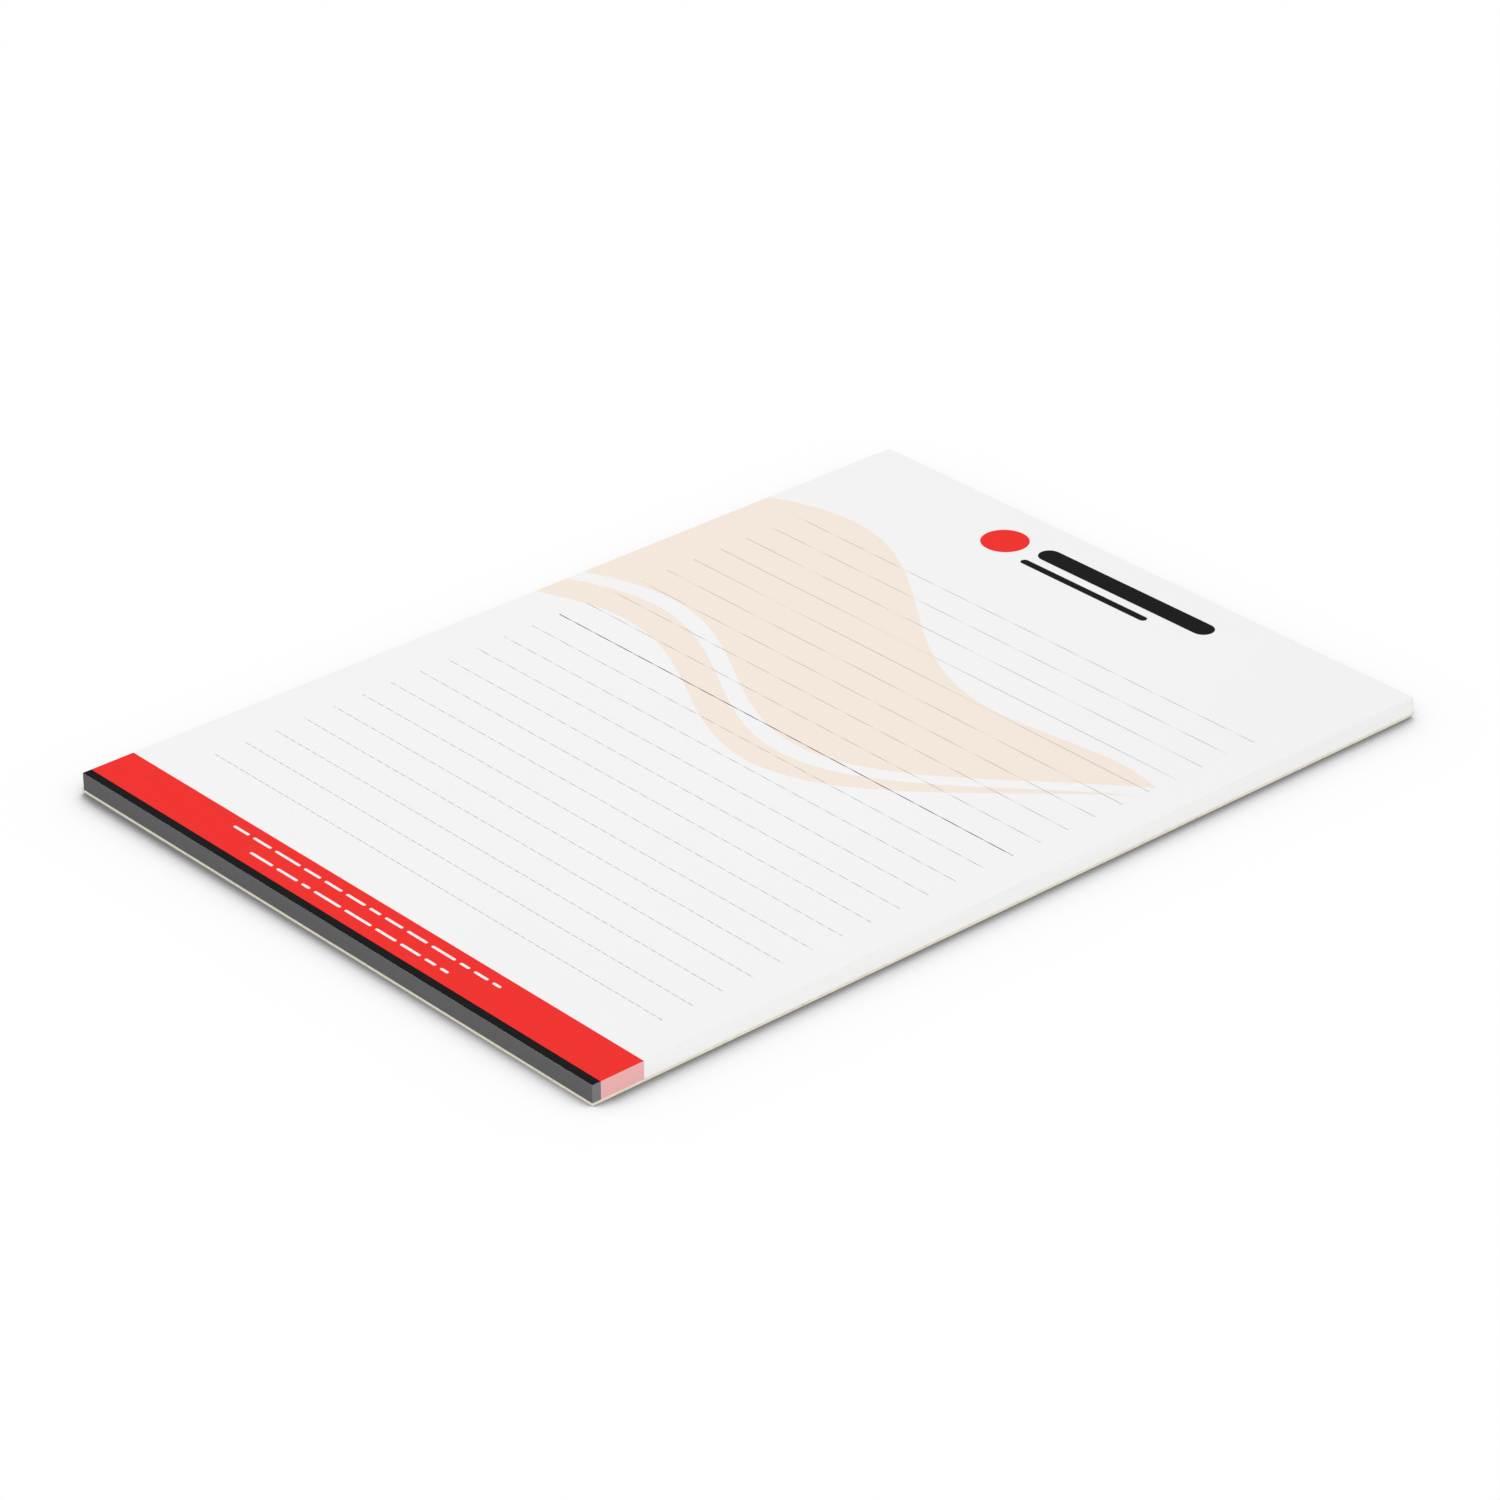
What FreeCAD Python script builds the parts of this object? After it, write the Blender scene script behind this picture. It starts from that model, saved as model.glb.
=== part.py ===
import FreeCAD, Part
import os

# A glued writing pad lying face up, in millimetres.
# The origin is on the surface it lies on, under the middle of its outline.
# +X is the reader's right, +Y runs from the foot of the page to its head, +Z is up.

# Page size, the same for the leaves and the board
PAGE_WIDTH = 210.0
PAGE_LENGTH = 297.0

# Stack of leaves
LEAF_COUNT = 50
LEAF_THICKNESS = 0.104

# Trimmed edge of a leaf: flat in the middle, eased towards the leaf above and the one below,
# so that a fine groove runs between each two leaves
GROOVE_DEPTH = 0.03
GROOVE_MOUTH = 0.04

# Backing board, with its lower edges worn round
BOARD_THICKNESS = 0.9
BOARD_EDGE_RADIUS = 0.15

# Film of padding glue on the head: full along its middle, thinning down a slope to its upper and
# lower edge, and trimmed flush with the sides of the pad
GLUE_THICKNESS = 0.35
GLUE_EDGE = 0.12
GLUE_SLOPE = 1.2
GLUE_MARGIN = 0.1
GLUE_EDGE_RADIUS = 0.05
GLUE_CREST_RADIUS = 2.0

# Two places nearer than this are the same place
SAME_PLACE = 0.001

# Places that follow from the sizes
STACK_HEIGHT = LEAF_COUNT * LEAF_THICKNESS
PAD_HEIGHT = BOARD_THICKNESS + STACK_HEIGHT
FOOT_Y = -(PAGE_LENGTH + GLUE_THICKNESS) / 2
HEAD_Y = FOOT_Y + PAGE_LENGTH
SIDE_X = PAGE_WIDTH / 2


def page_outline(inset, height):
    """Closed outline of a page at a height. The foot and the two sides are drawn in by the inset;
    the head is not, because there the leaves are knocked up flush for the glue."""
    left = -SIDE_X + inset
    right = SIDE_X - inset
    foot = FOOT_Y + inset
    corners = [(left, foot), (right, foot), (right, HEAD_Y), (left, HEAD_Y)]
    points = [FreeCAD.Vector(x, y, height) for x, y in corners]
    return Part.makePolygon(points + points[:1])


def leaf_block():
    """All leaves as one solid: a ruled loft up the stack, in and out of the groove below each leaf."""
    half_mouth = GROOVE_MOUTH / 2
    outlines = []
    for leaf in range(LEAF_COUNT):
        underside = BOARD_THICKNESS + leaf * LEAF_THICKNESS
        topside = underside + LEAF_THICKNESS
        outlines.append(page_outline(GROOVE_DEPTH, underside))
        outlines.append(page_outline(0, underside + half_mouth))
        outlines.append(page_outline(0, topside - half_mouth))
    outlines.append(page_outline(GROOVE_DEPTH, PAD_HEIGHT))
    return Part.makeLoft(outlines, True, True)


def backing_board():
    """Stiff board under the leaves, cut to the same outline, with a small radius round its underside."""
    slab = Part.Face(page_outline(0, 0)).extrude(FreeCAD.Vector(0, 0, BOARD_THICKNESS))
    lower_edges = [edge for edge in slab.Edges if edge.BoundBox.ZMax < BOARD_THICKNESS / 2]
    return slab.makeFillet(BOARD_EDGE_RADIUS, lower_edges)


def long_edges(film, depth):
    """Edges of the film that run across the pad at a given depth out from the head."""
    across = [edge for edge in film.Edges if edge.BoundBox.XLength > PAGE_WIDTH / 2]
    return [edge for edge in across if abs(edge.BoundBox.YMin - HEAD_Y - depth) < SAME_PLACE]


def glue_film():
    """Film that holds the leaves and the board together at the head, across the whole width.
    It lies flat on the edges of the leaves, and its outer corners are rounded off."""
    bottom = BOARD_EDGE_RADIUS + GLUE_MARGIN
    top = PAD_HEIGHT - GLUE_MARGIN
    section = [
        (0, bottom),
        (GLUE_EDGE, bottom),
        (GLUE_THICKNESS, bottom + GLUE_SLOPE),
        (GLUE_THICKNESS, top - GLUE_SLOPE),
        (GLUE_EDGE, top),
        (0, top),
    ]
    points = [FreeCAD.Vector(-SIDE_X, HEAD_Y + depth, height) for depth, height in section]
    outline = Part.makePolygon(points + points[:1])
    film = Part.Face(outline).extrude(FreeCAD.Vector(PAGE_WIDTH, 0, 0))
    film = film.makeFillet(GLUE_CREST_RADIUS, long_edges(film, GLUE_THICKNESS))
    return film.makeFillet(GLUE_EDGE_RADIUS, long_edges(film, GLUE_EDGE))


def main():
    os.makedirs("parts", exist_ok=True)
    pieces = {
        "leaf_block": leaf_block(),
        "backing_board": backing_board(),
        "glue_film": glue_film(),
    }
    for node, shape in pieces.items():
        if not shape.isValid() or len(shape.Solids) != 1:
            raise ValueError(f"{node} is not one valid solid")
        shape.exportStep(f"parts/{node}.step")
        print(node, "volume", round(shape.Volume, 2), "mm3, faces", len(shape.Faces))


main()
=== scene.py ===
"""The look of a glued A4 writing pad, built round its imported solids.

The pad lies face up. +X is the reader's right, +Y runs from the foot of the page to its glued
head and +Z is up. Everything is in metres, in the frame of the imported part.
"""

import logging
import math
import random
from collections.abc import Callable, Sequence
from dataclasses import dataclass, field
from enum import Enum

import bmesh
import bpy
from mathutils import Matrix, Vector, noise

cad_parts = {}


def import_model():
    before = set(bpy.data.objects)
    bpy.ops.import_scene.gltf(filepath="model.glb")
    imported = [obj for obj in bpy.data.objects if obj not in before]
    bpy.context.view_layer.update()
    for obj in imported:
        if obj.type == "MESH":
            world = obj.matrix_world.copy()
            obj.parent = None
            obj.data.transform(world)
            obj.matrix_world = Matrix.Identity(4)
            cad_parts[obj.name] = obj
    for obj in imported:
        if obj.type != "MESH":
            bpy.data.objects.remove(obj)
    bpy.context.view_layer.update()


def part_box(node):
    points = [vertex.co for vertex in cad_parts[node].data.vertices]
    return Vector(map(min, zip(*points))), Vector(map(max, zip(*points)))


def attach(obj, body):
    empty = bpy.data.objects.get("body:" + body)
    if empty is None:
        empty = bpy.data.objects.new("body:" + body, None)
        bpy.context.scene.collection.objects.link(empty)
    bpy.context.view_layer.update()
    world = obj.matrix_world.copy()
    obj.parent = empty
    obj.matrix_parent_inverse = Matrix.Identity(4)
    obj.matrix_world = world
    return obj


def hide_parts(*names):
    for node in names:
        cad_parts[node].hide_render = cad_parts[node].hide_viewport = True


log = logging.getLogger("writing_pad")

MM = 0.001
BODY = "root"

# How a screen's channel turns into linear light
CHANNEL_TOP = 255
SCREEN_TOE = 0.04045
SCREEN_TOE_SLOPE = 12.92
SCREEN_OFFSET = 0.055
SCREEN_POWER = 2.4

# Where a noise's shades begin and end, how far apart the sides lie in the noise,
# and the share of a step within which two stations are too close
GRAIN_SPAN = (0.3, 0.7)
SIDE_SPACING = 10.0
CROWDED = 0.25

# A point is a place on the page, and a pair is two values that belong together
Point = tuple[float, float]
Pair = tuple[float, float]
Triple = tuple[float, float, float]
Rgba = tuple[float, float, float, float]
Socket = bpy.types.NodeSocket
Vert = bmesh.types.BMVert


class Slot(Enum):
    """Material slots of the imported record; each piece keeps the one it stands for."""

    LEAF = "leaf_paper"
    BOARD = "backing_card"
    GLUE = "padding_glue"
    RED = "red_print"
    BLACK = "black_print"
    TINT = "tint_print"
    RULE = "rule_print"


class Side(Enum):
    """The four sides of the pad, seen from above."""

    FOOT = "foot"
    RIGHT = "right"
    HEAD = "head"
    LEFT = "left"


class LeafFace(Enum):
    """What a face of the leaf block shows; the value is its material's place in the block."""

    PAGE = 0
    PLAIN_EDGE = 1
    RED_EDGE = 2
    BLACK_EDGE = 3
    SHADED_FOOT_EDGE = 4


@dataclass(frozen=True)
class Tone:
    """A colour as a screen shows it, each channel from 0 to 255."""

    red: float
    green: float
    blue: float

    @staticmethod
    def linear(value: float) -> float:
        """Turn one channel into linear light.

        Args:
            value: the channel, from 0 to 255.

        Returns:
            Its light, from 0 to 1.
        """
        share = value / CHANNEL_TOP
        if share <= SCREEN_TOE:
            return share / SCREEN_TOE_SLOPE
        return ((share + SCREEN_OFFSET) / (1 + SCREEN_OFFSET)) ** SCREEN_POWER

    def rgba(self, factor: float = 1.0) -> Rgba:
        """Give the colour in linear light, made lighter or darker by a factor.

        Args:
            factor: what each channel is multiplied by.

        Returns:
            Red, green and blue, with an alpha of 1.
        """
        red, green, blue = (
            min(1.0, self.linear(value) * factor) for value in (self.red, self.green, self.blue)
        )
        return red, green, blue, 1.0


PAGE_WHITE = Tone(242.5, 242.5, 242.5)
RED_INK = Tone(239, 51, 47)
BLACK_INK = Tone(26, 25, 26)
TINT_INK = Tone(243, 230, 218)
RULE_INK = Tone(150, 149, 149)
STRONG_RULE_INK = Tone(60, 59, 60)
RED_EDGE_TONE = Tone(238, 181, 181)
BLACK_EDGE_TONE = Tone(122, 123, 125)
# The foot's black-printed edges are a darker copy of the sides' black-printed edges: painted shade on the
# foot face.
SHADED_FOOT_TONE = Tone(101, 101, 101)
# The plain leaf edges are lighter than the page they are cut from: painted light on the pad's sides.
LEAF_EDGE_PAINTED_LIGHT_TONE = Tone(245, 245, 244.5)
BOARD_CREAM = Tone(233, 225, 206)
GLUE_WHITE = Tone(236, 234, 226)


def grey(light: float) -> Rgba:
    """Give a grey in linear light."""
    return light, light, light, 1.0


WHITE = grey(1.0)


class Tree:
    """The node tree of a material or of the surroundings, with short ways to add and join nodes."""

    def __init__(
        self, owner: bpy.types.Material | bpy.types.World, output: str = "OutputMaterial"
    ) -> None:
        """Start a tree that has only its output node.

        Args:
            owner: the new material or world that the tree belongs to.
            output: the output node's type, without its leading ShaderNode.
        """
        owner.use_nodes = True
        self.owner = owner
        self.nodes = owner.node_tree.nodes
        self.nodes.clear()
        self.output = self.add(output)

    @classmethod
    def of_material(cls, name: str) -> "Tree":
        """Start the tree of a new material."""
        return cls(bpy.data.materials.new(name))

    def add(self, kind: str, **inputs: object) -> bpy.types.Node:
        """Add a node and set its unlinked inputs.

        Args:
            kind: the node's type, without its leading ShaderNode.
            inputs: values by the inputs' names, with spaces written as underscores.

        Returns:
            The new node.
        """
        node = self.nodes.new("ShaderNode" + kind)
        for name, value in inputs.items():
            node.inputs[name.replace("_", " ")].default_value = value
        return node

    def join(self, source: Socket, target: Socket) -> None:
        """Link an output to an input."""
        self.owner.node_tree.links.new(source, target)

    def grain(self, scale: Triple, detail: float = 2.0) -> Socket:
        """Add a fractal noise in the object's own coordinates.

        Args:
            scale: how many features there are in a metre along X, Y and Z.
            detail: how many finer layers the noise has.

        Returns:
            The noise's value, about a half on average.
        """
        coordinates = self.add("TexCoord")
        mapping = self.add("Mapping", Scale=scale)
        texture = self.add("TexNoise", Scale=1.0, Detail=detail)
        self.join(coordinates.outputs["Object"], mapping.inputs["Vector"])
        self.join(mapping.outputs["Vector"], texture.inputs["Vector"])
        return texture.outputs["Fac"]

    def ramp(self, value: Socket, *stops: tuple[float, Rgba]) -> Socket:
        """Turn a value into a colour.

        Args:
            value: the output that picks a place on the ramp.
            stops: places from 0 to 1, each with its colour.

        Returns:
            The ramp's colour.
        """
        node = self.add("ValToRGB")
        elements = node.color_ramp.elements
        for place, _ in stops[len(elements):]:
            elements.new(place)
        for element, (place, colour) in zip(elements, sorted(stops)):
            element.position = place
            element.color = colour
        self.join(value, node.inputs["Fac"])
        return node.outputs["Color"]

    def shades(self, value: Socket, tone: Tone, factors: Pair, span: Pair = GRAIN_SPAN) -> Socket:
        """Turn a value into a darker to lighter shade of one tone.

        Args:
            value: the output that picks the shade.
            tone: the tone in its plain shade.
            factors: what the tone is multiplied by in its darkest and lightest shade.
            span: the values of those two shades.

        Returns:
            The shade.
        """
        return self.ramp(value, *((place, tone.rgba(factor)) for place, factor in zip(span, factors)))

    def multiply(self, first: Socket, second: Socket) -> Socket:
        """Multiply two colours.

        Args:
            first: one colour.
            second: the other.

        Returns:
            Their product.
        """
        node = self.nodes.new("ShaderNodeVectorMath")
        node.operation = "MULTIPLY"
        for entry, colour in zip(node.inputs, (first, second)):
            self.join(colour, entry)
        return node.outputs["Vector"]

    def calculate(self, operation: str, *values: Socket | float, clamp: bool = False) -> Socket:
        """Add a calculation.

        Args:
            operation: what is done with the values.
            values: outputs of other nodes, or plain numbers.
            clamp: whether the result is kept from 0 to 1.

        Returns:
            The result.
        """
        node = self.nodes.new("ShaderNodeMath")
        node.operation = operation
        node.use_clamp = clamp
        for entry, value in zip(node.inputs, values):
            if isinstance(value, float):
                entry.default_value = value
            else:
                self.join(value, entry)
        return node.outputs["Value"]

    def surface(self, colour: Socket, roughness: float, specular: float = 0.5) -> bpy.types.Node:
        """Add the surface shader and join it to the output.

        Args:
            colour: the base colour.
            roughness: from 0, polished, to 1, dull.
            specular: strength of the plain reflection; a half is usual.

        Returns:
            The shader's node.
        """
        shader = self.add("BsdfPrincipled", Roughness=roughness, Specular_IOR_Level=specular)
        self.join(colour, shader.inputs["Base Color"])
        self.join(shader.outputs["BSDF"], self.output.inputs["Surface"])
        return shader

    def bump(self, shader: bpy.types.Node, height: Socket, depth: float, strength: float = 0.5) -> None:
        """Raise and lower the surface by a value.

        Args:
            shader: the surface shader.
            height: the value, from 0 to 1.
            depth: how far a value of 1 lies above 0, in metres.
            strength: from 0, none, to 1, full.
        """
        node = self.add("Bump", Strength=strength, Distance=depth)
        self.join(height, node.inputs["Height"])
        self.join(node.outputs["Normal"], shader.inputs["Normal"])


@dataclass(frozen=True)
class PaperFinish:
    """Uncoated writing paper: fine fibres, and a faint cloudiness as it has against the light."""

    name: str = "writing_paper"
    tone: Tone = PAGE_WHITE
    fibres_per_metre: float = 2400.0
    fibre_layers: float = 3.0
    fibre_shades: Pair = (0.985, 1.012)
    fibre_depth: float = 0.02 * MM
    clouds_per_metre: float = 30.0
    cloud_span: Pair = (0.35, 0.65)
    cloud_light: float = 0.994
    roughness: float = 0.85
    sheen: float = 0.1

    def material(self) -> bpy.types.Material:
        """Make the paper's material.

        Returns:
            The new material.
        """
        tree = Tree.of_material(self.name)
        fibres = tree.grain((self.fibres_per_metre,) * 3, self.fibre_layers)
        clouds = tree.grain((self.clouds_per_metre,) * 3)
        fibre_tone = tree.shades(fibres, self.tone, self.fibre_shades)
        cloudy, clear = self.cloud_span
        cloud_tone = tree.ramp(clouds, (cloudy, grey(self.cloud_light)), (clear, WHITE))
        shader = tree.surface(tree.multiply(fibre_tone, cloud_tone), self.roughness, self.sheen)
        tree.bump(shader, fibres, self.fibre_depth)
        return tree.owner


@dataclass(frozen=True)
class InkFinish:
    """Ink that has sunk into uncoated paper: an even, dull field with a faint mottle."""

    name: str
    tone: Tone
    mottle: float = 0.02
    roughness: float = 0.75
    sheen: float = 0.03
    mottle_per_metre: float = 900.0
    mottle_depth: float = 0.01 * MM

    def material(self) -> bpy.types.Material:
        """Make the ink's material.

        Returns:
            The new material.
        """
        tree = Tree.of_material(self.name)
        mottle = tree.grain((self.mottle_per_metre,) * 3)
        colour = tree.shades(mottle, self.tone, (1 - self.mottle, 1 + self.mottle))
        shader = tree.surface(colour, self.roughness, self.sheen)
        tree.bump(shader, mottle, self.mottle_depth)
        return tree.owner


@dataclass(frozen=True)
class LeafEdgeFinish:
    """Trimmed edges of the leaves: a streak for each leaf, in a paper white or tinged by the ink
    that is printed right up to the trim. The plain edges' white is lighter than the page's, painted light
    on the pad's sides, and the black-printed foot edges are a darker copy of the black-printed side
    edges, painted shade on the foot."""

    name: str
    tone: Tone
    streak: float
    leaves_per_metre: float
    streaks_per_metre: float = 35.0
    streak_layers: float = 1.0
    streak_span: Pair = (0.25, 0.75)
    streak_depth: float = 0.004 * MM
    roughness: float = 0.85
    sheen: float = 0.1

    def material(self) -> bpy.types.Material:
        """Make the edges' material.

        Returns:
            The new material.
        """
        tree = Tree.of_material(self.name)
        scale = (self.streaks_per_metre, self.streaks_per_metre, self.leaves_per_metre)
        streaks = tree.grain(scale, self.streak_layers)
        factors = (1 - self.streak, 1 + self.streak)
        colour = tree.shades(streaks, self.tone, factors, self.streak_span)
        shader = tree.surface(colour, self.roughness, self.sheen)
        tree.bump(shader, streaks, self.streak_depth)
        return tree.owner


@dataclass(frozen=True)
class BoardFinish:
    """Cream greyboard: pressed pulp with short fibres and a few darker and paler flecks."""

    name: str = "cream_greyboard"
    tone: Tone = BOARD_CREAM
    pulp_per_metre: float = 700.0
    pulp_layers: float = 4.0
    pulp_shades: Pair = (0.93, 1.06)
    pulp_depth: float = 0.05 * MM
    flecks_per_metre: float = 1500.0
    fleck_stretch: float = 3.0
    fleck_span: Pair = (0.24, 0.32)
    fleck_colour: Rgba = (0.72, 0.7, 0.66, 1.0)
    roughness: float = 0.9
    sheen: float = 0.2

    def material(self) -> bpy.types.Material:
        """Make the board's material.

        Returns:
            The new material.
        """
        tree = Tree.of_material(self.name)
        pulp = tree.grain((self.pulp_per_metre,) * 3, self.pulp_layers)
        stretched = self.flecks_per_metre / self.fleck_stretch
        flecks = tree.grain((self.flecks_per_metre, stretched, self.flecks_per_metre))
        pulp_tone = tree.shades(pulp, self.tone, self.pulp_shades)
        fleck, clear = self.fleck_span
        fleck_tone = tree.ramp(flecks, (fleck, self.fleck_colour), (clear, WHITE))
        shader = tree.surface(tree.multiply(pulp_tone, fleck_tone), self.roughness, self.sheen)
        tree.bump(shader, pulp, self.pulp_depth)
        return tree.owner


@dataclass(frozen=True)
class GlueFinish:
    """Dried padding glue: a rubbery off-white film with a soft gloss, streaked by the brush."""

    name: str = "padding_glue_film"
    tone: Tone = GLUE_WHITE
    stroke_ends_per_metre: float = 60.0
    strokes_per_metre: float = 3500.0
    stroke_shades: Pair = (0.95, 1.03)
    stroke_depth: float = 0.03 * MM
    roughness: float = 0.38

    def material(self) -> bpy.types.Material:
        """Make the glue's material.

        Returns:
            The new material.
        """
        tree = Tree.of_material(self.name)
        scale = (self.stroke_ends_per_metre, self.strokes_per_metre, self.strokes_per_metre)
        strokes = tree.grain(scale)
        shader = tree.surface(tree.shades(strokes, self.tone, self.stroke_shades), self.roughness)
        tree.bump(shader, strokes, self.stroke_depth)
        return tree.owner


def seen_directly(tree: Tree, bounced: Socket, seen: Socket) -> Socket:
    """Choose what the eye and reflections see, and what other light meets.

    Args:
        tree: the material's tree.
        bounced: the shader that scattered light meets.
        seen: the shader for camera, glossy and transmission rays.

    Returns:
        The chosen shader.
    """
    path = tree.add("LightPath").outputs
    mirrored = tree.calculate("ADD", path["Is Glossy Ray"], path["Is Transmission Ray"], clamp=True)
    direct = tree.calculate("ADD", path["Is Camera Ray"], mirrored, clamp=True)
    choice = tree.add("MixShader")
    for entry, source in zip(choice.inputs, (direct, bounced, seen)):
        tree.join(source, entry)
    return choice.outputs["Shader"]


@dataclass(frozen=True)
class FloorFinish:
    """White ground. The eye and reflections see it white, with a painted shadow close to the pad: it is
    darkened by how much of the sky the pad hides there, and in front of the foot more so towards the
    left. Other light bounces off it as off white card."""

    name: str = "white_ground"
    reach: float = 30 * MM
    bounce: float = 0.9
    foot_ends: Pair = (-105 * MM, 105 * MM)
    foot_shades: Pair = (1.23, 0.83)
    foot_border: Pair = (-150 * MM, -142 * MM)
    side_shade: float = 1.03
    shade: tuple[Pair, ...] = (
        (0.5, 0.19),
        (0.56, 0.29),
        (0.63, 0.46),
        (0.73, 0.74),
        (0.81, 0.88),
        (0.88, 0.94),
        (0.94, 0.975),
        (1.0, 1.0),
    )

    def leaning(self, tree: Tree, openness: Socket) -> Socket:
        """Paint the shadow in front of the foot deeper towards the left, as if the light came from the
        right.

        Args:
            tree: the ground's tree.
            openness: how much of the sky the pad leaves open.

        Returns:
            The openness that the eye is shown.
        """
        place = tree.add("SeparateXYZ")
        tree.join(tree.add("TexCoord").outputs["Object"], place.inputs["Vector"])
        left, right = self.foot_ends
        most, least = self.foot_shades
        foot = tree.add("MapRange", From_Min=left, From_Max=right, To_Min=most, To_Max=least)
        tree.join(place.outputs["X"], foot.inputs["Value"])
        ahead, beside = self.foot_border
        depth = tree.add("MapRange", From_Min=ahead, From_Max=beside, To_Max=self.side_shade)
        tree.join(place.outputs["Y"], depth.inputs["Value"])
        tree.join(foot.outputs["Result"], depth.inputs["To Min"])
        hidden = tree.calculate("SUBTRACT", openness, 1.0)
        return tree.calculate("MULTIPLY_ADD", hidden, depth.outputs["Result"], 1.0)

    def material(self) -> bpy.types.Material:
        """Make the ground's material.

        Returns:
            The new material.
        """
        tree = Tree.of_material(self.name)
        # What the eye sees is a painted shadow: the white emission is darkened by the pad's occlusion,
        # not by any lamp.
        openness = tree.add("AmbientOcclusion", Distance=self.reach)
        shown = self.leaning(tree, openness.outputs["AO"])
        seen = tree.add("Emission", Strength=1.0)
        greys = [(place, grey(light)) for place, light in self.shade]
        tree.join(tree.ramp(shown, *greys), seen.inputs["Color"])
        bounced = tree.add("BsdfDiffuse", Color=grey(self.bounce))
        shader = seen_directly(tree, bounced.outputs["BSDF"], seen.outputs["Emission"])
        tree.join(shader, tree.output.inputs["Surface"])
        return tree.owner


@dataclass(frozen=True)
class Page:
    """Outline and height of the block of leaves, in the pad's own frame."""

    left: float
    right: float
    foot: float
    head: float
    underside: float
    top: float

    @classmethod
    def of_node(cls, node: str) -> "Page":
        """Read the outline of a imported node.

        Args:
            node: the node's name.

        Returns:
            The node's page outline.
        """
        low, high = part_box(node)
        return cls(low.x, high.x, low.y, high.y, low.z, high.z)

    def spot(self, from_left: float, from_head: float) -> Point:
        """Turn a place measured from the page's left and head edges into X and Y."""
        return self.left + from_left, self.head - from_head

    def above_foot(self, distance: float) -> float:
        """Give the Y of a line that lies a distance above the foot."""
        return self.foot + distance


def stations(start: float, stop: float, step: float, also: Sequence[float] = ()) -> list[float]:
    """Divide a length evenly, and add places that have to be on the list.

    Args:
        start: the first place.
        stop: the last place.
        step: the widest gap wanted.
        also: places between the two that are added.

    Returns:
        All places in rising order.
    """
    count = math.ceil((stop - start) / step)
    places = {start + (stop - start) * index / count for index in range(count + 1)}
    kept = [place for place in places if all(abs(place - extra) > step * CROWDED for extra in also)]
    return sorted({start, stop, *kept, *also})


def ripple(*place: float) -> float:
    """Give a smooth random value from 0 to 1 at a place."""
    return (1 + noise.noise(Vector(place))) / 2


def lane(side: Side) -> float:
    """Give each side of the pad a place of its own in the noise."""
    return list(Side).index(side) * SIDE_SPACING


@dataclass
class Piece:
    """One piece of the pad: its mesh in the making, its finishes and the nodes it stands for."""

    name: str
    slot: Slot
    materials: list[bpy.types.Material]
    replaces: tuple[str, ...] = ()
    mesh: bmesh.types.BMesh = field(default_factory=bmesh.new)

    def corner(self, x: float, y: float, z: float) -> Vert:
        """Add one vertex."""
        return self.mesh.verts.new((x, y, z))

    def face(self, corners: Sequence[Vert], material: int = 0) -> None:
        """Add one face, seen from the side where its corners run anticlockwise."""
        self.mesh.faces.new(corners).material_index = material

    def wall(self, lower: Sequence[Vert], upper: Sequence[Vert],
             material: Callable[[int], int] = lambda _: 0) -> None:
        """Join two closed loops of as many corners by a wall that faces outwards.

        Args:
            lower: the lower loop, anticlockwise from above.
            upper: the upper loop, in the same order.
            material: the material's place for each stretch of the wall.
        """
        count = len(lower)
        for index in range(count):
            after = (index + 1) % count
            self.face((lower[index], lower[after], upper[after], upper[index]), material(index))

    def place(self) -> bpy.types.Object:
        """Turn the mesh into an object that rides on the pad.

        Returns:
            The placed object.
        """
        data = bpy.data.meshes.new(self.name)
        self.mesh.to_mesh(data)
        self.mesh.free()
        for material in self.materials:
            data.materials.append(material)
        placed = bpy.data.objects.new(self.name, data)
        bpy.context.scene.collection.objects.link(placed)
        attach(placed, BODY)
        if self.replaces:
            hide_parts(*self.replaces)
        log.info("%s: %d faces, on %s", self.name, len(data.polygons), BODY)
        return placed


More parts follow.
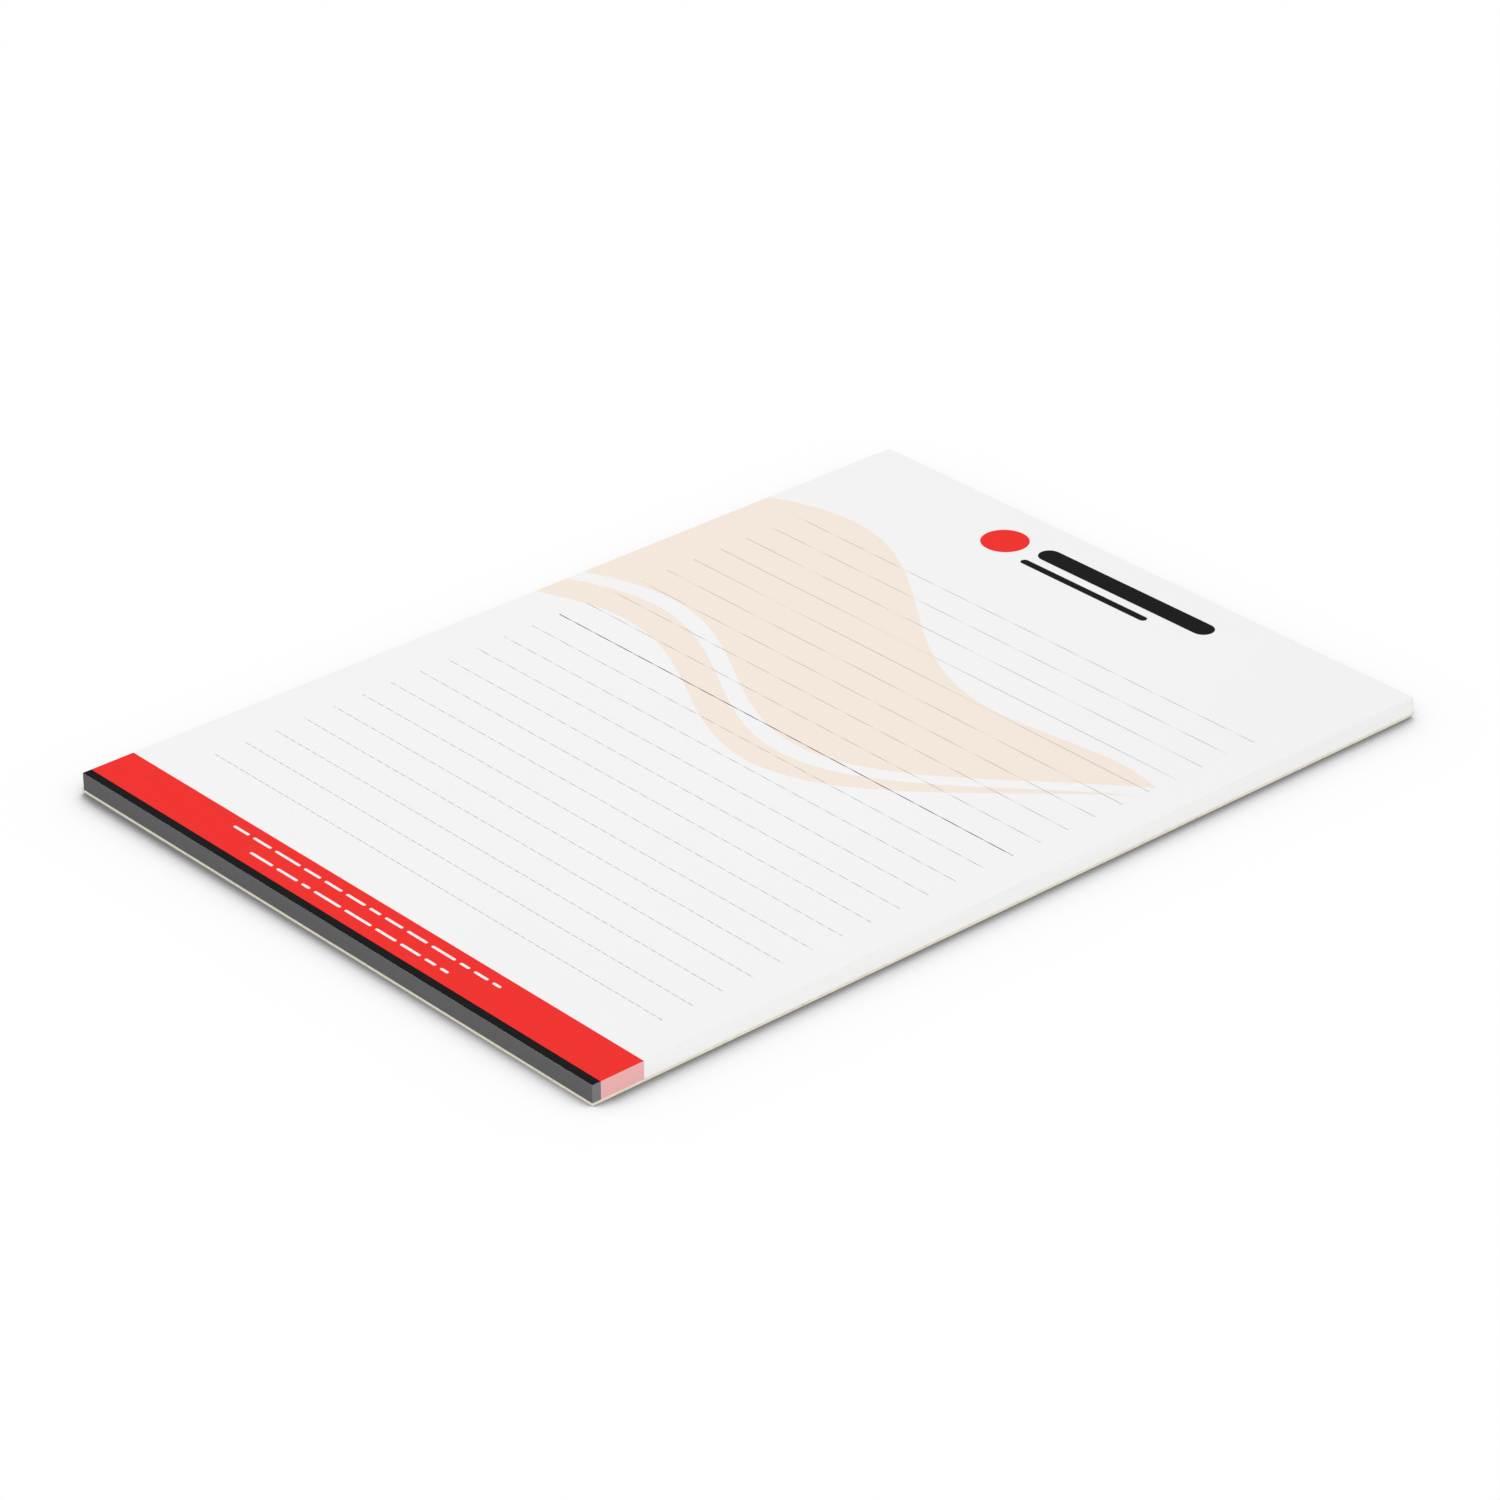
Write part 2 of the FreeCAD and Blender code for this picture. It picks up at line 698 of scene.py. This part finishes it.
@dataclass
class Rim:
    """The closed line of places round a rectangular sheet, anticlockwise from its foot left corner."""

    across: list[float]
    along: list[float]

    def steps(self) -> list[tuple[int, int]]:
        """List the rim's places.

        Returns:
            Each place as its positions in across and along.
        """
        last_x, last_y = len(self.across) - 1, len(self.along) - 1
        foot = [(i, 0) for i in range(last_x)]
        right = [(last_x, j) for j in range(last_y)]
        head = [(i, last_y) for i in range(last_x, 0, -1)]
        left = [(0, j) for j in range(last_y, 0, -1)]
        return foot + right + head + left

    def ring(self, piece: Piece, height: float, inset: Callable[[Side, float], float]) -> list[Vert]:
        """Add one ring of vertices, drawn in from the outline.

        Args:
            piece: the piece that gets the vertices.
            height: the ring's height.
            inset: how far a side is drawn in at a place along it.

        Returns:
            The ring's vertices, in the order of steps().
        """
        last_x, last_y = len(self.across) - 1, len(self.along) - 1
        ring = []
        for i, j in self.steps():
            x, y = self.across[i], self.along[j]
            if i == 0:
                x += inset(Side.LEFT, self.along[j])
            if i == last_x:
                x -= inset(Side.RIGHT, self.along[j])
            if j == 0:
                y += inset(Side.FOOT, self.across[i])
            if j == last_y:
                y -= inset(Side.HEAD, self.across[i])
            ring.append(piece.corner(x, y, height))
        return ring

    def cap(self, piece: Piece, ring: Sequence[Vert], height: float, facing_up: bool,
            material: int = 0) -> None:
        """Close a ring with a flat grid of faces.

        Args:
            piece: the piece that gets the faces.
            ring: the ring's vertices.
            height: the cap's height.
            facing_up: whether the cap faces up or down.
            material: the material's place.
        """
        grid = dict(zip(self.steps(), ring))
        for i, x in enumerate(self.across):
            for j, y in enumerate(self.along):
                if (i, j) not in grid:
                    grid[i, j] = piece.corner(x, y, height)
        for i in range(len(self.across) - 1):
            for j in range(len(self.along) - 1):
                corners = [grid[i, j], grid[i + 1, j], grid[i + 1, j + 1], grid[i, j + 1]]
                piece.face(corners if facing_up else corners[::-1], material)


@dataclass
class LeafBlock:
    """The block of leaves. Each leaf's trimmed edge stands a hair in or out of its neighbours', with a
    groove between each two, and the head is flush for the glue."""

    page: Page
    black_band: float
    red_band: float
    leaf_count: int = 50
    groove: float = 0.01 * MM
    mouth: float = 0.036 * MM
    stagger: float = 0.01 * MM
    waver: float = 0.01 * MM
    waver_length: float = 40 * MM
    leaf_spacing: float = 3.7
    cell: float = 10 * MM
    plain_streak: float = 0.03
    red_streak: float = 0.05
    black_streak: float = 0.08
    seed: int = 7

    def edge_material(self, rim: Rim, index: int) -> int:
        """Choose the material of a stretch of the trimmed sides.

        Args:
            rim: the rim that the sides follow.
            index: the stretch's place on the rim.

        Returns:
            The material's place: ink shows where a printed band runs off the page.
        """
        steps = rim.steps()
        (_, j), (_, after) = steps[index], steps[(index + 1) % len(steps)]
        height = (rim.along[j] + rim.along[after]) / 2 - self.page.foot
        if j == after == 0:
            return LeafFace.SHADED_FOOT_EDGE.value
        if height < self.black_band:
            return LeafFace.BLACK_EDGE.value
        if height < self.red_band:
            return LeafFace.RED_EDGE.value
        return LeafFace.PLAIN_EDGE.value

    def build(self) -> bpy.types.Object:
        """Build the block leaf by leaf, from the lowest up.

        Returns:
            The block, in the place of the plain solid.
        """
        page = self.page
        leaf = (page.top - page.underside) / self.leaf_count
        # The plain edges' finish carries painted light, and the black-printed foot edges' finish carries
        # painted shade.
        edge_finishes = [
            LeafEdgeFinish("plain_leaf_edges_painted_light", LEAF_EDGE_PAINTED_LIGHT_TONE, self.plain_streak, 1 / leaf),
            LeafEdgeFinish("red_printed_leaf_edges", RED_EDGE_TONE, self.red_streak, 1 / leaf),
            LeafEdgeFinish("black_printed_leaf_edges", BLACK_EDGE_TONE, self.black_streak, 1 / leaf),
            LeafEdgeFinish("black_printed_foot_edges_painted_shade", SHADED_FOOT_TONE, self.black_streak, 1 / leaf),
        ]
        materials = [PaperFinish().material(), *(finish.material() for finish in edge_finishes)]
        piece = Piece("leaves", Slot.LEAF, materials, replaces=("leaf_block",))
        bands = [page.above_foot(self.black_band), page.above_foot(self.red_band)]
        rim = Rim(
            stations(page.left, page.right, self.cell),
            stations(page.foot, page.head, self.cell, bands),
        )
        dice = random.Random(self.seed)
        rings = []
        for number in range(self.leaf_count):
            drawn_in = dice.uniform(0, self.stagger)
            underside = page.underside + number * leaf
            for rise, groove in ((0, self.groove), (self.mouth / 2, 0), (leaf - self.mouth / 2, 0)):
                inset = self.edge_line(number, drawn_in + groove)
                rings.append(rim.ring(piece, underside + rise, inset))
        rings.append(rim.ring(piece, page.top, self.edge_line(self.leaf_count, self.groove)))
        for lower, upper in zip(rings, rings[1:]):
            piece.wall(lower, upper, lambda index: self.edge_material(rim, index))
        rim.cap(piece, rings[0], page.underside, facing_up=False, material=LeafFace.PAGE.value)
        rim.cap(piece, rings[-1], page.top, facing_up=True, material=LeafFace.PAGE.value)
        return piece.place()

    def edge_line(self, leaf: int, drawn_in: float) -> Callable[[Side, float], float]:
        """Describe how one leaf's edge runs.

        Args:
            leaf: the leaf's number, which gives it a waver of its own.
            drawn_in: how far the whole edge stands back from the outline.

        Returns:
            A function of the side and the place along it that gives the inset.
        """

        def inset(side: Side, place: float) -> float:
            """Give the inset at one place.

            Args:
                side: the side of the block.
                place: the X or Y along that side.

            Returns:
                How far the edge is drawn in there.
            """
            if side is Side.HEAD:
                return 0.0
            share = ripple(place / self.waver_length, leaf * self.leaf_spacing, lane(side))
            return drawn_in + self.waver * share

        return inset


@dataclass
class BackingBoard:
    """The stiff board: a soft round under its lower edges, and a cut edge roughened by its fibres."""

    page: Page
    edge_radius: float = 0.15 * MM
    roughness: float = 0.03 * MM
    fibre_length: float = 1.2 * MM
    fibre_flatness: float = 4.0
    cell: float = 4 * MM
    round_steps: int = 4
    ply_count: int = 5

    def build(self) -> bpy.types.Object:
        """Build the board from its underside up.

        Returns:
            The board, in the place of the plain solid.
        """
        board = self.page
        piece = Piece("board", Slot.BOARD, [BoardFinish().material()], replaces=("backing_board",))
        rim = Rim(
            stations(board.left, board.right, self.cell), stations(board.foot, board.head, self.cell)
        )
        levels = []
        for step in range(self.round_steps + 1):
            angle = math.pi / 2 * step / self.round_steps
            rise = self.edge_radius * (1 - math.cos(angle))
            levels.append((rise, self.edge_radius * (1 - math.sin(angle))))
        plain = board.top - board.underside - self.edge_radius
        levels += [
            (self.edge_radius + plain * ply / self.ply_count, 0.0)
            for ply in range(1, self.ply_count + 1)
        ]
        rings = [
            rim.ring(piece, board.underside + rise, self.fibres(rise, inset)) for rise, inset in levels
        ]
        for lower, upper in zip(rings, rings[1:]):
            piece.wall(lower, upper)
        rim.cap(piece, rings[0], board.underside, facing_up=False)
        rim.cap(piece, rings[-1], board.top, facing_up=True)
        return piece.place()

    def fibres(self, rise: float, drawn_in: float) -> Callable[[Side, float], float]:
        """Describe how the board's edge runs at one level.

        Args:
            rise: the level's height above the underside.
            drawn_in: how far the edge stands back there.

        Returns:
            A function of the side and the place along it that gives the inset.
        """

        def inset(side: Side, place: float) -> float:
            """Give the inset at one place.

            Args:
                side: the side of the board.
                place: the X or Y along that side.

            Returns:
                How far the edge is drawn in there.
            """
            if side is Side.HEAD:
                return drawn_in
            level = rise / self.fibre_length * self.fibre_flatness
            return drawn_in + self.roughness * ripple(place / self.fibre_length, level, lane(side))

        return inset


@dataclass
class GlueFilm:
    """The film of padding glue on the head: brushed on along the pad, so it is ridged that way and its
    upper and lower edges waver."""

    low: Vector
    high: Vector
    edge: float = 0.12 * MM
    slope: float = 1.2 * MM
    ridge: float = 0.035 * MM
    ridge_height: float = 0.45 * MM
    waver: float = 0.09 * MM
    droop_length: float = 6 * MM
    droop_lane: Pair = (0.0, 9.0)
    climb_length: float = 9 * MM
    climb_lane: Pair = (5.0, 9.0)
    cell: float = 1.0 * MM
    courses: int = 18
    stroke_length: float = 22 * MM
    stroke_lane: float = 3.0

    def thickness(self, x: float, z: float) -> float:
        """Give the film's thickness at a place.

        Args:
            x: the place across the pad.
            z: the place's height.

        Returns:
            The distance from the head to the film's face.
        """
        full = self.high.y - self.low.y - self.ridge
        from_edge = min(z - self.low.z, self.high.z - z)
        share = min(1.0, max(0.0, from_edge / self.slope))
        smooth = share * share * (3 - 2 * share)
        stroke = ripple(x / self.stroke_length, z / self.ridge_height, self.stroke_lane)
        return self.edge + (full - self.edge) * smooth + self.ridge * stroke

    def build(self) -> bpy.types.Object:
        """Build the film as a row of sections across the pad.

        Returns:
            The film, in the place of the plain solid.
        """
        piece = Piece("glued_head", Slot.GLUE, [GlueFinish().material()], replaces=("glue_film",))
        sections = []
        for x in stations(self.low.x, self.high.x, self.cell):
            bottom = self.low.z + self.waver * ripple(x / self.droop_length, *self.droop_lane)
            top = self.high.z - self.waver * ripple(x / self.climb_length, *self.climb_lane)
            heights = [
                bottom + (top - bottom) * course / self.courses for course in range(self.courses + 1)
            ]
            outer = [piece.corner(x, self.low.y + self.thickness(x, z), z) for z in heights]
            inner = [piece.corner(x, self.low.y, z) for z in reversed(heights)]
            sections.append(outer + inner)
        for before, after in zip(sections, sections[1:]):
            piece.wall(before, after)
        piece.face(sections[0][::-1])
        piece.face(sections[-1])
        bmesh.ops.recalc_face_normals(piece.mesh, faces=piece.mesh.faces[:])
        return piece.place()


@dataclass
class InkSheet:
    """Printed shapes of one ink on the page, each a closed film thinner than a hair."""

    name: str
    slot: Slot
    finish: InkFinish
    paper_top: float
    lift: float

    def __post_init__(self) -> None:
        """Start the piece that the shapes are added to."""
        self.piece = Piece(self.name, self.slot, [self.finish.material()])

    def shape(self, outline: Sequence[Point]) -> None:
        """Print a shape without dents.

        Args:
            outline: its corners, anticlockwise from above.
        """
        lower = [self.piece.corner(x, y, self.paper_top) for x, y in outline]
        upper = [self.piece.corner(x, y, self.paper_top + self.lift) for x, y in outline]
        self.piece.wall(lower, upper)
        self.piece.face(upper)
        self.piece.face(lower[::-1])

    def bar(self, left: float, foot: float, right: float, head: float) -> None:
        """Print a bar with square corners."""
        self.shape([(left, foot), (right, foot), (right, head), (left, head)])

    def rounded_bar(self, left: float, foot: float, right: float, head: float, steps: int = 12) -> None:
        """Print a bar with round ends.

        Args:
            left: X of its left end.
            foot: Y of its lower side.
            right: X of its right end.
            head: Y of its upper side.
            steps: stretches in each round end.
        """
        radius = (head - foot) / 2
        middle = (foot + head) / 2
        turns = [math.pi * (step / steps - 0.5) for step in range(steps + 1)]
        right_end = [
            (right - radius + radius * math.cos(turn), middle + radius * math.sin(turn)) for turn in turns
        ]
        left_end = [
            (left + radius - radius * math.cos(turn), middle - radius * math.sin(turn)) for turn in turns
        ]
        self.shape(right_end + left_end)

    def disc(self, centre: Point, radius: float, steps: int = 72) -> None:
        """Print a disc.

        Args:
            centre: X and Y of its centre.
            radius: its radius.
            steps: stretches in its round.
        """
        turns = [2 * math.pi * step / steps for step in range(steps)]
        self.shape(
            [(centre[0] + radius * math.cos(turn), centre[1] + radius * math.sin(turn)) for turn in turns]
        )

    def ribbon(self, places: Sequence[float], lower_line: Callable[[float], float],
               upper_line: Callable[[float], float]) -> None:
        """Print a ribbon between two lines that run across the page.

        Args:
            places: the X of each of its sections.
            lower_line: Y of its lower side at an X.
            upper_line: Y of its upper side at an X.
        """
        sections = []
        for x in places:
            low, high, raised = lower_line(x), upper_line(x), self.paper_top + self.lift
            sections.append(
                [
                    self.piece.corner(x, low, self.paper_top),
                    self.piece.corner(x, high, self.paper_top),
                    self.piece.corner(x, high, raised),
                    self.piece.corner(x, low, raised),
                ]
            )
        for before, after in zip(sections, sections[1:]):
            self.piece.wall(before, after)
        self.piece.face(sections[0][::-1])
        self.piece.face(sections[-1])
        bmesh.ops.recalc_face_normals(self.piece.mesh, faces=self.piece.mesh.faces[:])

    def place(self) -> bpy.types.Object:
        """Put the printed shapes on the page."""
        return self.piece.place()


@dataclass(frozen=True)
class WaveMotif:
    """A broad tinted wave that runs off the page's left edge and narrows to a tip at its right end, with
    a slim one along its lower side."""

    start: float = 92 * MM
    stop: float = 104 * MM
    swing: float = 17 * MM
    phase: float = 0.45
    turns: float = 1.1
    broad: float = 72 * MM
    gap: float = 6 * MM
    slim: float = 12 * MM
    tip: float = 0.3 * MM
    taper_power: int = 3

    def lines(self, share: float) -> tuple[float, float, float, float]:
        """Give the four sides of the two waves.

        Args:
            share: how far along the waves, from 0 at the left to 1 at the tips.

        Returns:
            Distances from the head: broad wave's upper and lower side, slim wave's upper and lower side.
        """
        level = self.start + (self.stop - self.start) * share
        middle = level - self.swing * math.sin(2 * math.pi * self.turns * share + self.phase)
        taper = 1 - share**self.taper_power
        broad = max(self.tip, self.broad * taper)
        slim = max(self.tip, self.slim * taper)
        lower = middle + broad / 2
        return middle - broad / 2, lower, lower + self.gap, lower + self.gap + slim


@dataclass
class PrintedPage:
    """Everything printed on the top leaf, measured from the page's left and head edges."""

    page: Page
    bleed_gap: float = 0.03 * MM
    black_band: float = 2.8 * MM
    red_band: float = 16.8 * MM
    band_lift: float = 0.008 * MM
    tint_lift: float = 0.006 * MM
    line_lift: float = 0.014 * MM

    rule_count: int = 22
    first_rule: float = 51.2 * MM
    rule_pitch: float = 10.15 * MM
    rule_left: float = 15.5 * MM
    rule_right: float = 198.7 * MM
    rule_width: float = 0.17 * MM
    rule_thinning: float = 0.93
    strong_rule: int = 10
    strong_rule_width: float = 0.29 * MM
    strong_rule_thinning: float = 0.6
    steady_rule: float = 4.4
    beats_per_metre_a_rule: float = 20.3
    beat_power: int = 3
    steps_a_beat: int = 8

    motif: WaveMotif = WaveMotif()
    wave_step: float = 2 * MM
    tint_mottle: float = 0.008

    disc_place: Point = (67 * MM, 17 * MM)
    disc_radius: float = 7.2 * MM
    bar_places: tuple[Point, ...] = ((79 * MM, 10.5 * MM), (79 * MM, 20.7 * MM))
    bar_sizes: tuple[Pair, ...] = ((68 * MM, 7 * MM), (50 * MM, 2.6 * MM))

    dash_height: float = 0.9 * MM
    dash_lengths: Pair = (3 * MM, 11 * MM)
    dash_gap: float = 1.9 * MM
    dash_end_steps: int = 6
    dash_rows: tuple[Triple, ...] = (
        (12.7 * MM, 50 * MM, 160 * MM),
        (7.4 * MM, 64 * MM, 146 * MM),
    )
    seed: int = 11

    def sheet(self, name: str, slot: Slot, finish: InkFinish, lift: float) -> InkSheet:
        """Start a sheet of one ink on the page."""
        return InkSheet(name, slot, finish, self.page.top, lift)

    def bands(self) -> None:
        """Print the red band and the black band under it, which run off the page at three sides."""
        left, right = self.page.left + self.bleed_gap, self.page.right - self.bleed_gap
        foot = self.page.above_foot(self.bleed_gap)
        joint = self.page.above_foot(self.black_band)
        top = self.page.above_foot(self.red_band)
        black = self.sheet("black_band", Slot.BLACK, InkFinish("black_ink", BLACK_INK), self.band_lift)
        black.bar(left, foot, right, joint)
        black.place()
        red = self.sheet("red_band", Slot.RED, InkFinish("red_ink", RED_INK), self.band_lift)
        red.bar(left, joint, right, top)
        red.place()

    def rules(self) -> None:
        """Print the ruled lines, of which one is stronger than the rest."""
        fine = self.sheet("ruled_lines", Slot.RULE, InkFinish("rule_ink", RULE_INK), self.line_lift)
        strong_ink = InkFinish("strong_rule_ink", STRONG_RULE_INK)
        strong = self.sheet("strong_line", Slot.RULE, strong_ink, self.line_lift)
        for number in range(1, self.rule_count + 1):
            if number == self.strong_rule:
                self.rule(strong, number, self.strong_rule_width, self.strong_rule_thinning)
            else:
                self.rule(fine, number, self.rule_width, self.rule_thinning)
        fine.place()
        strong.place()

    def rule(self, sheet: InkSheet, number: int, width: float, thinning: float) -> None:
        """Print one ruled line, whose ink thins out at even beats, so that it looks dashed.

        Args:
            sheet: the ink sheet that gets the line.
            number: the line's number, from 1 at the head; the beats get shorter towards the foot.
            width: the line's full width.
            thinning: the share of its width that the line loses where it is thinnest.
        """
        left, middle = self.page.spot(self.rule_left, self.first_rule + (number - 1) * self.rule_pitch)
        right = self.page.left + self.rule_right
        beats_per_metre = abs(number - self.steady_rule) * self.beats_per_metre_a_rule
        places = stations(left, right, 1 / beats_per_metre / self.steps_a_beat)

        def half_width(x: float) -> float:
            """Give half of the line's width at an X."""
            beat = (1 + math.sin(2 * math.pi * beats_per_metre * (x - left) + number)) / 2
            return width / 2 * (1 - thinning * beat**self.beat_power)

        sheet.ribbon(places, lambda x: middle - half_width(x), lambda x: middle + half_width(x))

    def tint(self) -> None:
        """Print the pale waves behind the lines: a broad one and a slim one under it."""
        ink = InkFinish("tint_ink", TINT_INK, self.tint_mottle)
        waves = self.sheet("tinted_waves", Slot.TINT, ink, self.tint_lift)
        left, right = self.page.left + self.bleed_gap, self.page.left + self.rule_right
        places = stations(left, right, self.wave_step)

        def line(number: int) -> Callable[[float], float]:
            """Give one of the four sides of the waves, counted from the head, as Y at an X."""
            return lambda x: self.page.head - self.motif.lines((x - left) / (right - left))[number]

        waves.ribbon(places, line(1), line(0))
        waves.ribbon(places, line(3), line(2))
        waves.place()

    def header(self) -> None:
        """Print the plain marks at the head: a red disc, and a heavy and a light black bar."""
        disc = self.sheet("header_disc", Slot.RED, InkFinish("header_red_ink", RED_INK), self.line_lift)
        disc.disc(self.page.spot(*self.disc_place), self.disc_radius)
        disc.place()
        black_ink = InkFinish("header_black_ink", BLACK_INK)
        bars = self.sheet("header_bars", Slot.BLACK, black_ink, self.line_lift)
        for place, (length, height) in zip(self.bar_places, self.bar_sizes):
            left, head = self.page.spot(*place)
            bars.rounded_bar(left, head - height, left + length, head)
        bars.place()

    def band_marks(self) -> None:
        """Print two rows of white dashes of uneven length on the red band."""
        bare_paper = InkFinish("bare_paper_marks", PAGE_WHITE)
        marks = self.sheet("band_dashes", Slot.LEAF, bare_paper, self.line_lift)
        dice = random.Random(self.seed)
        shortest, _ = self.dash_lengths
        for rise, first, last in self.dash_rows:
            foot = self.page.above_foot(rise - self.dash_height / 2)
            head = foot + self.dash_height
            start = first
            while start < last - shortest:
                stop = min(last, start + dice.uniform(*self.dash_lengths))
                left, right = self.page.left + start, self.page.left + stop
                marks.rounded_bar(left, foot, right, head, self.dash_end_steps)
                start = stop + self.dash_gap
        marks.place()

    def build(self) -> None:
        """Print the whole page."""
        self.bands()
        self.tint()
        self.rules()
        self.header()
        self.band_marks()


@dataclass(frozen=True)
class SoftLamp:
    """A round soft lamp that faces the pad."""

    name: str
    place: Triple
    watts: float
    size: float

    def hang(self) -> None:
        """Add the lamp to the scene."""
        data = bpy.data.lights.new(self.name, "AREA")
        data.shape = "DISK"
        data.size = self.size
        data.energy = self.watts
        lamp = bpy.data.objects.new(self.name, data)
        lamp.location = self.place
        lamp.rotation_mode = "QUATERNION"
        lamp.rotation_quaternion = (-Vector(self.place)).to_track_quat("-Z", "Y")
        bpy.context.scene.collection.objects.link(lamp)


@dataclass
class Studio:
    """White ground, even white surroundings, two large soft lamps, and the camera."""

    floor_size: float = 8.0
    floor_gap: float = 0.02 * MM
    sky: float = 0.8
    lamps: tuple[SoftLamp, ...] = (
        SoftLamp("overhead_lamp", (-0.16, -0.04, 0.9), 1.7, 0.7),
        SoftLamp("side_lamp", (1.7, -0.9, 0.6), 5.2, 1.1),
    )

    azimuth: float = 48.0
    elevation: float = 29.01
    distance: float = 1.5055
    focal_length: float = 133.7
    sensor: float = 36.0
    look_at: Triple = (5.4 * MM, -7.2 * MM, 6.1 * MM)

    def ground(self) -> None:
        """Lay the ground, a hair below the board, so that the two are never in one plane."""
        half, level = self.floor_size / 2, -self.floor_gap
        corners = [(-half, -half, level), (half, -half, level), (half, half, level), (-half, half, level)]
        data = bpy.data.meshes.new("ground")
        data.from_pydata(corners, [], [(0, 1, 2, 3)])
        data.materials.append(FloorFinish().material())
        ground = bpy.data.objects.new("ground", data)
        bpy.context.scene.collection.objects.link(ground)

    def surroundings(self) -> None:
        """Light the pad evenly from all round, against a white background."""
        world = bpy.data.worlds.new("white_surroundings")
        bpy.context.scene.world = world
        tree = Tree(world, "OutputWorld")
        lit = tree.add("Background", Color=WHITE, Strength=self.sky)
        seen = tree.add("Background", Color=WHITE, Strength=1.0)
        shader = seen_directly(tree, lit.outputs["Background"], seen.outputs["Background"])
        tree.join(shader, tree.output.inputs["Surface"])

    def camera(self) -> None:
        """Stand the camera off the foot right corner of the pad and aim it."""
        turn, rise = math.radians(self.azimuth), math.radians(self.elevation)
        back = Vector((math.sin(turn) * math.cos(rise), -math.cos(turn) * math.cos(rise), math.sin(rise)))
        data = bpy.data.cameras.new("camera")
        data.sensor_width = self.sensor
        data.lens = self.focal_length
        camera = bpy.data.objects.new("camera", data)
        camera.location = Vector(self.look_at) + back * self.distance
        camera.rotation_mode = "QUATERNION"
        camera.rotation_quaternion = (-back).to_track_quat("-Z", "Y")
        bpy.context.scene.collection.objects.link(camera)
        bpy.context.scene.camera = camera

    def build(self) -> None:
        """Set up the ground, the light and the camera."""
        self.ground()
        self.surroundings()
        for lamp in self.lamps:
            lamp.hang()
        self.camera()
        bpy.context.scene.view_settings.view_transform = "Standard"
        log.info("studio: ground, surroundings, %d lamps and camera", len(self.lamps))


def main() -> None:
    """Dress the pad piece by piece and set up its studio."""
    logging.basicConfig(level=logging.INFO, format="%(name)s: %(message)s")
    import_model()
    page = Page.of_node("leaf_block")
    printed = PrintedPage(page)
    LeafBlock(page, printed.black_band, printed.red_band).build()
    BackingBoard(Page.of_node("backing_board")).build()
    GlueFilm(*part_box("glue_film")).build()
    printed.build()
    Studio().build()


if __name__ == "__main__":
    main()
